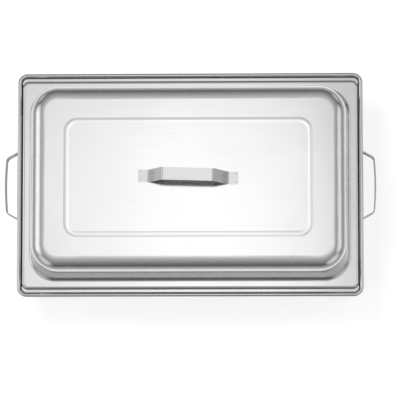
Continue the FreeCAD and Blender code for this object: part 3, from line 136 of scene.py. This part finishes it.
def makeScuffs():
    # sparse hairline scratches from handling
    group, start, end = newGroup(
        "scuffs",
        [("Vector", "NodeSocketVector", None), ("Scale", "NodeSocketFloat", 60.0)],
        [("Scuff", "NodeSocketFloat")])
    parts = []
    for turn, stretch in ((0.35, 0.05), (-0.8, 0.07)):
        turned = addNode(group, "ShaderNodeMapping", "turned", (-900, 200 - 400 * len(parts)))
        turned.inputs["Rotation"].default_value = (0.0, 0.0, turn)
        turned.inputs["Scale"].default_value = (stretch, 1.0, 0.4)
        connect(group, start, "Vector", turned, "Vector")
        hair = addNode(group, "ShaderNodeTexNoise", "hairs", (-650, 200 - 400 * len(parts)))
        hair.inputs["Detail"].default_value = 1.0
        connect(group, turned, 0, hair, "Vector")
        connect(group, start, "Scale", hair, "Scale")
        thin = mathNode(group, "SUBTRACT", "from the middle", (hair, "Fac"), 0.5)
        near = mathNode(group, "ABSOLUTE", "distance", (thin, 0))
        parts.append(rangeNode(group, "thin line", (near, 0), 0.0, 0.006, 1.0, 0.0))
    where = addNode(group, "ShaderNodeTexNoise", "where they lie", (-650, -700))
    where.inputs["Scale"].default_value = 14.0
    connect(group, start, "Vector", where, "Vector")
    patch = rangeNode(group, "only in patches", (where, "Fac"), 0.52, 0.66, 0.0, 1.0, smooth=True)
    both = mathNode(group, "MAXIMUM", "either way", (parts[0], 0), (parts[1], 0))
    seen = mathNode(group, "MULTIPLY", "in patches", (both, 0), (patch, 0), clamp=True)
    connect(group, seen, 0, end, "Scuff")
    return group


def makeEdgeShine():
    # rubbed bright edges: where a rounded normal leaves the true one
    group, start, end = newGroup(
        "edgeShine",
        [("Radius", "NodeSocketFloat", 0.0008)],
        [("Edge", "NodeSocketFloat")])
    rounded = addNode(group, "ShaderNodeBevel", "rounded", (-800, 100), samples=4)
    connect(group, start, "Radius", rounded, "Radius")
    shape = addNode(group, "ShaderNodeNewGeometry", "shape", (-800, -100))
    same = addNode(group, "ShaderNodeVectorMath", "how alike", (-550, 0), operation="DOT_PRODUCT")
    connect(group, rounded, "Normal", same, 0)
    connect(group, shape, "Normal", same, 1)
    worn = rangeNode(group, "edge", (same, "Value"), 0.985, 0.86, 0.0, 1.0, (-300, 0), smooth=True)
    connect(group, worn, 0, end, "Edge")
    return group


sheetGrain = makeSheetGrain()
wipeMarks = makeWipeMarks()
scuffs = makeScuffs()
edgeShine = makeEdgeShine()
print("shared effects built")


# steel finishes

def useGroup(tree, group, label, place, **numbers):
    node = addNode(tree, "ShaderNodeGroup", label, place, node_tree=group)
    for key, number in numbers.items():
        node.inputs[key].default_value = number
    return node


def addWelds(tree, coords, tint, welds):
    # four darkened spot welds, mirrored from one corner of the turned handle
    turned = addNode(tree, "ShaderNodeMapping", "handle's own turn", (-1250, 700))
    turned.inputs["Rotation"].default_value = (0.0, 0.0, math.radians(welds["turn"]))
    connect(tree, coords, "Object", turned, "Vector")
    folded = addNode(tree, "ShaderNodeVectorMath", "one corner", (-1050, 700), operation="ABSOLUTE")
    connect(tree, turned, 0, folded, 0)
    flat = addNode(tree, "ShaderNodeVectorMath", "level", (-900, 700), operation="MULTIPLY")
    connect(tree, folded, 0, flat, 0)
    flat.inputs[1].default_value = (1.0, 1.0, 0.0)
    away = addNode(tree, "ShaderNodeVectorMath", "from the weld", (-700, 700), operation="DISTANCE")
    connect(tree, flat, 0, away, 0)
    away.inputs[1].default_value = (*welds["spot"], 0.0)
    radius = welds["radius"]
    share = rangeNode(tree, "weld mark", (away, "Value"), welds["core"] * radius, welds["fade"] * radius,
                      1.0 - welds["depth"], 1.0, (-500, 700), smooth=True)
    return mathNode(tree, "MULTIPLY", "tone with welds", (tint, 0), (share, 0), (-250, 500))


def makeSteel(name, look):
    # look is one of the finishes listed below
    material = bpy.data.materials.new(name)
    material.use_nodes = True
    tree = material.node_tree
    tree.nodes.clear()
    shader = addNode(tree, "ShaderNodeBsdfPrincipled", "steel", (900, 200))
    output = addNode(tree, "ShaderNodeOutputMaterial", "surface", (1200, 200))
    connect(tree, shader, "BSDF", output, "Surface")
    shader.inputs["Metallic"].default_value = 1.0
    coords = addNode(tree, "ShaderNodeTexCoord", "where", (-1500, 0))
    centred = addNode(tree, "ShaderNodeMapping", "centred", (-1250, 100))
    centred.inputs["Location"].default_value = look["centre"]
    connect(tree, coords, "Object", centred, "Vector")
    grain = useGroup(tree, sheetGrain, "rolling lines", (-900, 300),
                     Along=look["along"], Across=look["across"])
    connect(tree, centred, 0, grain, "Vector")
    connect(tree, coords, "Normal", grain, "Normal")
    wipes = useGroup(tree, wipeMarks, "wipe marks", (-900, 50), Scale=look["wipeScale"])
    connect(tree, centred, 0, wipes, "Vector")
    hairs = useGroup(tree, scuffs, "scuffs", (-900, -150), Scale=look["scuffScale"])
    connect(tree, centred, 0, hairs, "Vector")
    edge = useGroup(tree, edgeShine, "edge shine", (-900, -350), Radius=look["edgeRadius"])

    # colour: lines and wipe marks darken the steel a little, edges are rubbed bright
    lineShare = rangeNode(tree, "line share", (grain, "Grain"), 0.3, 0.7,
                          1.0, 1.0 - look["grain"], (-600, 300))
    wipeShare = rangeNode(tree, "wipe share", (wipes, "Marks"), 0.0, 1.0,
                          1.0, 1.0 - look["wipes"], (-600, 50))
    tint = mathNode(tree, "MULTIPLY", "tone", (lineShare, 0), (wipeShare, 0), (-400, 200))
    if "welds" in look:
        tint = addWelds(tree, coords, tint, look["welds"])
    body = addNode(tree, "ShaderNodeMix", "steel tone", (-150, 300), data_type="RGBA")
    body.inputs["A"].default_value = (*look["dark"], 1.0)
    body.inputs["B"].default_value = (*look["color"], 1.0)
    connect(tree, tint, 0, body, "Factor")
    bright = addNode(tree, "ShaderNodeMix", "rubbed edges", (150, 300), data_type="RGBA")
    edgeShare = mathNode(tree, "MULTIPLY", "edge share", (edge, "Edge"), look["edge"], (-400, -350))
    connect(tree, edgeShare, 0, bright, "Factor")
    tree.links.new(body.outputs["Result"], bright.inputs["A"])
    bright.inputs["B"].default_value = (*look["edgeColor"], 1.0)
    tree.links.new(bright.outputs["Result"], shader.inputs["Base Color"])

    # roughness: satin lines, duller wipe marks, scuffs, smoother edges
    lineRough = rangeNode(tree, "line roughness", (grain, "Grain"), 0.25, 0.75,
                          look["rough"] - look["roughSpread"], look["rough"] + look["roughSpread"],
                          (-600, -100))
    wipeRough = mathNode(tree, "MULTIPLY", "wipe roughness", (wipes, "Marks"), look["wipeRough"],
                         (-600, -250))
    summed = mathNode(tree, "ADD", "with wipes", (lineRough, 0), (wipeRough, 0), (-400, -150))
    scuffRough = mathNode(tree, "MULTIPLY", "scuff roughness", (hairs, "Scuff"), look["scuffs"], (-600, -450))
    scuffed = mathNode(tree, "ADD", "with scuffs", (summed, 0), (scuffRough, 0), (-200, -200))
    smoother = mathNode(tree, "MULTIPLY", "edge smoothing", (edge, "Edge"), look["edgeSmooth"], (-400, -500))
    final = mathNode(tree, "SUBTRACT", "roughness", (scuffed, 0), (smoother, 0), (0, -250), clamp=True)
    connect(tree, final, 0, shader, "Roughness")

    # relief: lines, scuffs and the slight waviness of the sheet
    waves = addNode(tree, "ShaderNodeTexNoise", "sheet waviness", (-900, -700))
    waves.inputs["Scale"].default_value = look["waveScale"]
    waves.inputs["Detail"].default_value = 1.0
    connect(tree, centred, 0, waves, "Vector")
    waveBump = addNode(tree, "ShaderNodeBump", "waves", (150, -600))
    waveBump.inputs["Distance"].default_value = look["wave"]
    connect(tree, waves, "Fac", waveBump, "Height")
    lineBump = addNode(tree, "ShaderNodeBump", "lines", (400, -500))
    lineBump.inputs["Distance"].default_value = look["lineDepth"]
    connect(tree, grain, "Grain", lineBump, "Height")
    connect(tree, waveBump, "Normal", lineBump, "Normal")
    scuffBump = addNode(tree, "ShaderNodeBump", "scuff relief", (650, -400), invert=True)
    scuffBump.inputs["Distance"].default_value = look["scuffDepth"]
    connect(tree, hairs, "Scuff", scuffBump, "Height")
    connect(tree, lineBump, "Normal", scuffBump, "Normal")
    connect(tree, scuffBump, "Normal", shader, "Normal")
    return material


brightSheet = {
    "color": (0.64, 0.64, 0.64), "dark": (0.48, 0.48, 0.48), "edgeColor": (0.72, 0.72, 0.72),
    "rough": 0.20, "roughSpread": 0.05, "grain": 0.10, "along": 7.0, "across": 420.0, "lineDepth": 0.000004,
    "wipes": 0.05, "wipeScale": 7.0, "wipeRough": 0.03,
    "scuffs": 0.05, "scuffScale": 60.0, "scuffDepth": 0.000004, "centre": (0.0, 0.0, 0.0),
    "edge": 0.5, "edgeSmooth": 0.05, "edgeRadius": 0.0006,
    "wave": 0.0001, "waveScale": 9.0,
}
lidLook = dict(brightSheet, rough=0.11, roughSpread=0.02, grain=0.04, wipes=0.03, lineDepth=0.000001)
panLook = dict(brightSheet, color=(0.58, 0.58, 0.58), rough=0.12, roughSpread=0.03, grain=0.06,
               lineDepth=0.000002)
stripLook = dict(brightSheet, color=(0.56, 0.56, 0.56), dark=(0.36, 0.36, 0.36), rough=0.18, roughSpread=0.05,
                 grain=0.28, across=1600.0, along=30.0, scuffs=0.09, edge=0.25, waveScale=20.0)
handleLook = dict(stripLook, edge=0.6, welds={"spot": (0.0754, 0.0064), "turn": 1.6, "radius": 0.0019,
                                              "core": 0.6, "fade": 1.25, "depth": 0.75})
# painted shade: the side handles get a darker copy of the strip steel (0.37 and 0.28 against 0.56 and 0.36),
# standing in for the dark things their faces reflect
shadedLoopLook = dict(stripLook, color=(0.37, 0.37, 0.37), dark=(0.28, 0.28, 0.28), edge=0.2, rough=0.34)
frameLook = dict(brightSheet, color=(0.62, 0.62, 0.62), rough=0.20, grain=0.10, wave=0.0002, waveScale=12.0)
burnerLook = dict(brightSheet, color=(0.58, 0.58, 0.58), rough=0.28, roughSpread=0.06, grain=0.12, wipes=0.10)
fastenerLook = dict(brightSheet, color=(0.60, 0.60, 0.60), rough=0.22, grain=0.06, across=900.0, along=300.0,
                    wave=0.0)

steels = {
    "lidSteel": (lidLook, ["lid_shell"]),
    "panSteel": (panLook, ["water_pan", "food_pan"]),
    "handleSteel": (handleLook, ["lid_handle"]),
    "shadedLoopSteel": (shadedLoopLook, ["side_handle_right", "side_handle_left"]),
    "frameSteel": (frameLook, ["frame_band", "cross_bar_right", "cross_bar_left", "burner_shelf"]
                   + [name for name in nodes if name.startswith("leg_") and name != "leg_rivets"]),
    "burnerSteel": (burnerLook, [name for name in nodes if name.startswith(("fuel_", "damper_"))
                                 and "knob" not in name and "pivot" not in name]),
    "fastenerSteel": (fastenerLook, ["leg_rivets", "bar_screws", "bar_nuts", "shelf_screws", "shelf_nuts",
                                     "damper_pivot_right", "damper_pivot_left"]),
}


def dress(name, material):
    piece = nodes[name]
    if not piece.material_slots:
        piece.data.materials.append(material)
    for slot in piece.material_slots:
        slot.material = material


for steelName, (look, members) in steels.items():
    steel = makeSteel(steelName, look)
    for member in members:
        dress(member, steel)
print("steel finishes placed")


# moulded plastics

plasticLooks = {
    "capPlastic": {"members": [name for name in nodes if name.startswith("foot_cap_")],
                   "color": (0.030, 0.030, 0.032), "worn": (0.085, 0.085, 0.085),
                   "rough": 0.52, "spread": 0.10, "texture": 900.0, "depth": 0.00005},
    "knobPlastic": {"members": ["damper_knob_right", "damper_knob_left"],
                    "color": (0.020, 0.020, 0.022), "worn": (0.060, 0.060, 0.060),
                    "rough": 0.34, "spread": 0.08, "texture": 1400.0, "depth": 0.00002},
}


def makePlastic(name, look):
    material = bpy.data.materials.new(name)
    material.use_nodes = True
    tree = material.node_tree
    tree.nodes.clear()
    shader = addNode(tree, "ShaderNodeBsdfPrincipled", "plastic", (900, 200))
    output = addNode(tree, "ShaderNodeOutputMaterial", "surface", (1200, 200))
    connect(tree, shader, "BSDF", output, "Surface")
    coords = addNode(tree, "ShaderNodeTexCoord", "where", (-1200, 0))
    spark = addNode(tree, "ShaderNodeTexNoise", "mould texture", (-900, -100))
    spark.inputs["Scale"].default_value = look["texture"]
    spark.inputs["Detail"].default_value = 2.0
    connect(tree, coords, "Object", spark, "Vector")
    edge = useGroup(tree, edgeShine, "rubbed edge", (-900, -350), Radius=0.0008)
    wipes = useGroup(tree, wipeMarks, "wipe marks", (-900, 200), Scale=40.0)
    connect(tree, coords, "Object", wipes, "Vector")
    edgeShare = mathNode(tree, "MULTIPLY", "edge share", (edge, "Edge"), 0.6, (-600, -350))
    colour = addNode(tree, "ShaderNodeMix", "rubbed colour", (-200, 200), data_type="RGBA")
    colour.inputs["A"].default_value = (*look["color"], 1.0)
    colour.inputs["B"].default_value = (*look["worn"], 1.0)
    connect(tree, edgeShare, 0, colour, "Factor")
    tree.links.new(colour.outputs["Result"], shader.inputs["Base Color"])
    rough = rangeNode(tree, "roughness", (wipes, "Marks"), 0.0, 1.0, look["rough"] - look["spread"],
                      look["rough"] + look["spread"], (-200, -100))
    connect(tree, rough, 0, shader, "Roughness")
    bump = addNode(tree, "ShaderNodeBump", "relief", (400, -200))
    bump.inputs["Distance"].default_value = look["depth"]
    connect(tree, spark, "Fac", bump, "Height")
    connect(tree, bump, "Normal", shader, "Normal")
    return material


for plasticName, look in plasticLooks.items():
    plastic = makePlastic(plasticName, look)
    for member in look["members"]:
        dress(member, plastic)
print("plastics placed")


# floor, light and camera

# near, far, nearLevel and farLevel set a painted pool of light on the floor around the dish
floorLook = {"radius": 30.0, "near": 0.44, "far": 1.1, "nearLevel": 1.0, "farLevel": 0.46,
             "matte": 0.60, "glow": 0.65}


def makeFloor():
    bpy.ops.mesh.primitive_circle_add(vertices=96, radius=floorLook["radius"], fill_type="NGON",
                                      location=(0.0, 0.0, 0.0))
    floor = bpy.context.object
    floor.name = "floor"
    material = bpy.data.materials.new("paleFloor")
    material.use_nodes = True
    tree = material.node_tree
    tree.nodes.clear()
    output = addNode(tree, "ShaderNodeOutputMaterial", "surface", (1100, 0))
    coords = addNode(tree, "ShaderNodeTexCoord", "where", (-900, 0))
    away = addNode(tree, "ShaderNodeVectorMath", "distance from the dish", (-700, 0), operation="LENGTH")
    connect(tree, coords, "Object", away, 0)
    # painted pool of light: the floor's matte colour and its glow are full white within 0.44 m of the dish and
    # fall to 0.46 beyond 1.1 m, standing in for the dimmer floor further off
    tone = rangeNode(tree, "painted light pool", (away, "Value"), floorLook["near"], floorLook["far"],
                     floorLook["nearLevel"], floorLook["farLevel"], (-500, 0), smooth=True)
    tone.interpolation_type = "SMOOTHERSTEP"
    tones = {}
    for name, share in (("matte", floorLook["matte"]), ("glow", floorLook["glow"])):
        level = mathNode(tree, "MULTIPLY", name + " level", (tone, 0), share, (-250, 100))
        tones[name] = addNode(tree, "ShaderNodeCombineColor", name + " colour", (0, 100))
        for channel in ("Red", "Green", "Blue"):
            connect(tree, level, 0, tones[name], channel)
    bounce = addNode(tree, "ShaderNodeBsdfDiffuse", "bounce", (250, 300))
    bounce.inputs["Color"].default_value = (0.80, 0.80, 0.80, 1.0)
    matte = addNode(tree, "ShaderNodeBsdfDiffuse", "matte white", (250, 100))
    connect(tree, tones["matte"], 0, matte, "Color")
    glow = addNode(tree, "ShaderNodeEmission", "white background", (250, -100))
    connect(tree, tones["glow"], 0, glow, "Color")
    seen = addNode(tree, "ShaderNodeAddShader", "as seen", (550, 0))
    tree.links.new(matte.outputs[0], seen.inputs[0])
    tree.links.new(glow.outputs[0], seen.inputs[1])
    path = addNode(tree, "ShaderNodeLightPath", "rays", (-250, 500))
    both = mathNode(tree, "ADD", "camera or gloss", (path, "Is Camera Ray"), (path, "Is Glossy Ray"),
                    (0, 500))
    rays = mathNode(tree, "ADD", "or glass", (both, 0), (path, "Is Transmission Ray"), (200, 500), clamp=True)
    mix = addNode(tree, "ShaderNodeMixShader", "floor", (850, 0))
    connect(tree, rays, 0, mix, "Fac")
    tree.links.new(bounce.outputs[0], mix.inputs[1])
    tree.links.new(seen.outputs[0], mix.inputs[2])
    connect(tree, mix, 0, output, "Surface")
    floor.data.materials.append(material)


makeFloor()

# every stop is (degrees away from the middle of that light, level); the low corner lights
# keep the lid from going dull when it is seen from a corner
worldLook = {
    "ceiling": {"towards": (0.0, 0.07, 1.0),
                "stops": [(0, 0.80), (12, 0.75), (20, 0.68), (28, 0.61), (37, 0.50), (48, 0.40), (58, 0.30),
                          (72, 0.20), (85, 0.16), (100, 0.20), (180, 0.34)]},
    "leftWall": {"towards": (-0.89, 0.0, 0.454),
                 "stops": [(0, 1.50), (10, 1.48), (14, 1.35), (20, 0.95), (26, 0.70), (31, 0.0), (180, 0.0)]},
    "rightWall": {"towards": (0.89, 0.0, 0.454),
                  "stops": [(0, 1.17), (8, 1.12), (13, 0.97), (18, 0.80), (24, 0.50), (30, 0.0), (180, 0.0)]},
    "frontLeft": {"towards": (-0.68, -0.68, 0.30),
                  "stops": [(0, 0.95), (14, 0.85), (22, 0.55), (30, 0.0), (180, 0.0)]},
    "frontRight": {"towards": (0.68, -0.68, 0.30),
                   "stops": [(0, 0.95), (14, 0.85), (22, 0.55), (30, 0.0), (180, 0.0)]},
    "rearLeft": {"towards": (-0.70, 0.70, 0.08),
                 "stops": [(0, 0.85), (8, 0.72), (14, 0.35), (19, 0.0), (180, 0.0)]},
    "rearRight": {"towards": (0.70, 0.70, 0.08),
                  "stops": [(0, 0.85), (8, 0.72), (14, 0.35), (19, 0.0), (180, 0.0)]},
    "horizon": {"towards": (0.0, 0.0, 1.0),
                "stops": [(0, 0.0), (84, 0.0), (90, 0.42), (100, 0.42), (180, 0.42)]},
}


def makeWorld():
    world = bpy.data.worlds.new("softStudio")
    scene.world = world
    world.use_nodes = True
    tree = world.node_tree
    tree.nodes.clear()
    output = addNode(tree, "ShaderNodeOutputWorld", "world", (1200, 0))
    sky = addNode(tree, "ShaderNodeBackground", "studio", (900, 0))
    connect(tree, sky, 0, output, "Surface")
    coords = addNode(tree, "ShaderNodeTexCoord", "direction", (-1200, 0))
    brightest = None
    for index, (name, light) in enumerate(worldLook.items()):
        height = 600 - 300 * index
        along = addNode(tree, "ShaderNodeVectorMath", name + " direction", (-900, height),
                        operation="DOT_PRODUCT")
        connect(tree, coords, "Generated", along, 0)
        along.inputs[1].default_value = Vector(light["towards"]).normalized()
        angle = mathNode(tree, "ARCCOSINE", name + " angle", (along, "Value"), None, (-650, height))
        share = mathNode(tree, "DIVIDE", "share of a half turn", (angle, 0), math.pi, (-450, height))
        fade = addNode(tree, "ShaderNodeValToRGB", name, (-200, height))
        ramp = fade.color_ramp
        while len(ramp.elements) > 1:
            ramp.elements.remove(ramp.elements[-1])
        for place, (degrees, level) in enumerate(light["stops"]):
            element = ramp.elements[0] if place == 0 else ramp.elements.new(degrees / 180.0)
            element.position = degrees / 180.0
            element.color = (level, level, level, 1.0)
        connect(tree, share, 0, fade, "Fac")
        if brightest is None:
            brightest = (fade, "Color")
            continue
        brighter = addNode(tree, "ShaderNodeMix", "brighter of both", (200 + 200 * index, height),
                           data_type="RGBA", blend_type="LIGHTEN")
        brighter.inputs["Factor"].default_value = 1.0
        tree.links.new(brightest[0].outputs[brightest[1]], brighter.inputs["A"])
        tree.links.new(fade.outputs["Color"], brighter.inputs["B"])
        brightest = (brighter, "Result")
    tree.links.new(brightest[0].outputs[brightest[1]], sky.inputs["Color"])
    sky.inputs["Strength"].default_value = 1.0


makeWorld()

# the overhead softbox adds to the world behind it; stops are (metres along the axis, level)
softboxLook = {
    "height": 2.3, "half": 1.1, "strength": 0.92, "slant": 0.10,
    "X": [(-0.90, 0.0), (-0.60, 0.30), (-0.39, 0.55), (-0.24, 0.76), (-0.10, 0.95), (-0.02, 1.0), (0.14, 0.85),
          (0.26, 0.70), (0.30, 0.15), (0.36, 0.0), (0.42, 0.30), (0.50, 0.55), (0.80, 0.40), (1.05, 0.0)],
    "Y": [(-0.60, 0.0), (-0.40, 0.20), (-0.20, 0.60), (0.0, 0.95), (0.16, 1.0), (0.33, 0.90), (0.42, 0.72),
          (0.50, 0.50), (0.90, 0.0)],
}


def makeSoftbox():
    half = softboxLook["half"]
    bpy.ops.mesh.primitive_plane_add(size=2.0 * half, location=(0.0, 0.0, 0.0))
    softbox = bpy.context.object
    softbox.name = "softbox"
    softbox.data.transform(Matrix.Translation((0.0, 0.0, softboxLook["height"])))
    for ray in ("camera", "diffuse", "transmission", "volume_scatter", "shadow"):
        setattr(softbox, "visible_" + ray, False)
    material = bpy.data.materials.new("softboxGlow")
    material.use_nodes = True
    tree = material.node_tree
    tree.nodes.clear()
    output = addNode(tree, "ShaderNodeOutputMaterial", "surface", (1100, 0))
    coords = addNode(tree, "ShaderNodeTexCoord", "where", (-1200, 0))
    spot = addNode(tree, "ShaderNodeSeparateXYZ", "place", (-1000, 0))
    connect(tree, coords, "Object", spot, "Vector")
    slanted = mathNode(tree, "MULTIPLY", "slanted edge", (spot, "Y"), softboxLook["slant"], (-800, -200))
    turned = mathNode(tree, "ADD", "across", (spot, "X"), (slanted, 0), (-600, 0))
    fades = []
    for axis, source in (("X", (turned, 0)), ("Y", (spot, "Y"))):
        share = rangeNode(tree, "along " + axis, source, -half, half, 0.0, 1.0, (-400, 0))
        fade = addNode(tree, "ShaderNodeValToRGB", "fade along " + axis, (-150, 0))
        ramp = fade.color_ramp
        ramp.interpolation = "B_SPLINE"
        while len(ramp.elements) > 1:
            ramp.elements.remove(ramp.elements[-1])
        for index, (metres, level) in enumerate(softboxLook[axis]):
            place = (metres + half) / (2.0 * half)
            element = ramp.elements[0] if index == 0 else ramp.elements.new(place)
            element.position = place
            element.color = (level, level, level, 1.0)
        connect(tree, share, 0, fade, "Fac")
        fades.append((fade, "Color"))
    level = mathNode(tree, "MULTIPLY", "level", fades[0], fades[1], (200, 0))
    strength = mathNode(tree, "MULTIPLY", "strength", (level, 0), softboxLook["strength"], (400, 0))
    glow = addNode(tree, "ShaderNodeEmission", "glow", (600, 0))
    connect(tree, strength, 0, glow, "Strength")
    clear = addNode(tree, "ShaderNodeBsdfTransparent", "clear", (600, -150))
    both = addNode(tree, "ShaderNodeAddShader", "added", (850, 0))
    tree.links.new(glow.outputs[0], both.inputs[0])
    tree.links.new(clear.outputs[0], both.inputs[1])
    connect(tree, both, 0, output, "Surface")
    softbox.data.materials.append(material)


makeSoftbox()

# lights the floor and the plastics only, so the dish casts a soft shadow to the front right
lampLooks = {
    "keyLamp": {"spot": (-0.37, 0.32, 2.6), "turn": (-7.0, -8.0, 0.0), "size": (0.55, 0.55), "power": 15.0},
}
for lampName, look in lampLooks.items():
    lampData = bpy.data.lights.new(lampName, "AREA")
    lampData.shape = "RECTANGLE"
    lampData.size, lampData.size_y = look["size"]
    lampData.energy = look["power"]
    lamp = bpy.data.objects.new(lampName, lampData)
    scene.collection.objects.link(lamp)
    lamp.location = look["spot"]
    lamp.rotation_euler = [math.radians(degrees) for degrees in look["turn"]]
    lamp.visible_glossy = False
print("floor and light placed")

cameraLook = {"azimuth": -77.015, "elevation": 83.222, "roll": -13.071, "distance": 5.0, "lens": 278.25,
              "sensor": 36.0, "clipEnd": 100.0, "target": (0.0161, -0.0250, 0.191)}


def makeCamera():
    azimuth, elevation, roll = (math.radians(cameraLook[key]) for key in ("azimuth", "elevation", "roll"))
    back = Vector((math.cos(elevation) * math.cos(azimuth), math.cos(elevation) * math.sin(azimuth),
                   math.sin(elevation)))
    right = (-back).cross(Vector((0.0, 0.0, 1.0))).normalized()
    up = right.cross(-back)
    rolledRight = right * math.cos(roll) + up * math.sin(roll)
    rolledUp = up * math.cos(roll) - right * math.sin(roll)
    turned = Matrix((rolledRight, rolledUp, back)).transposed().to_4x4()
    cameraData = bpy.data.cameras.new("camera")
    cameraData.sensor_width = cameraLook["sensor"]
    cameraData.lens = cameraLook["lens"]
    cameraData.clip_end = cameraLook["clipEnd"]
    camera = bpy.data.objects.new("camera", cameraData)
    scene.collection.objects.link(camera)
    place = Vector(cameraLook["target"]) + back * cameraLook["distance"]
    camera.matrix_world = Matrix.Translation(place) @ turned
    scene.camera = camera


makeCamera()
scene.view_settings.view_transform = "Standard"
print("camera placed")
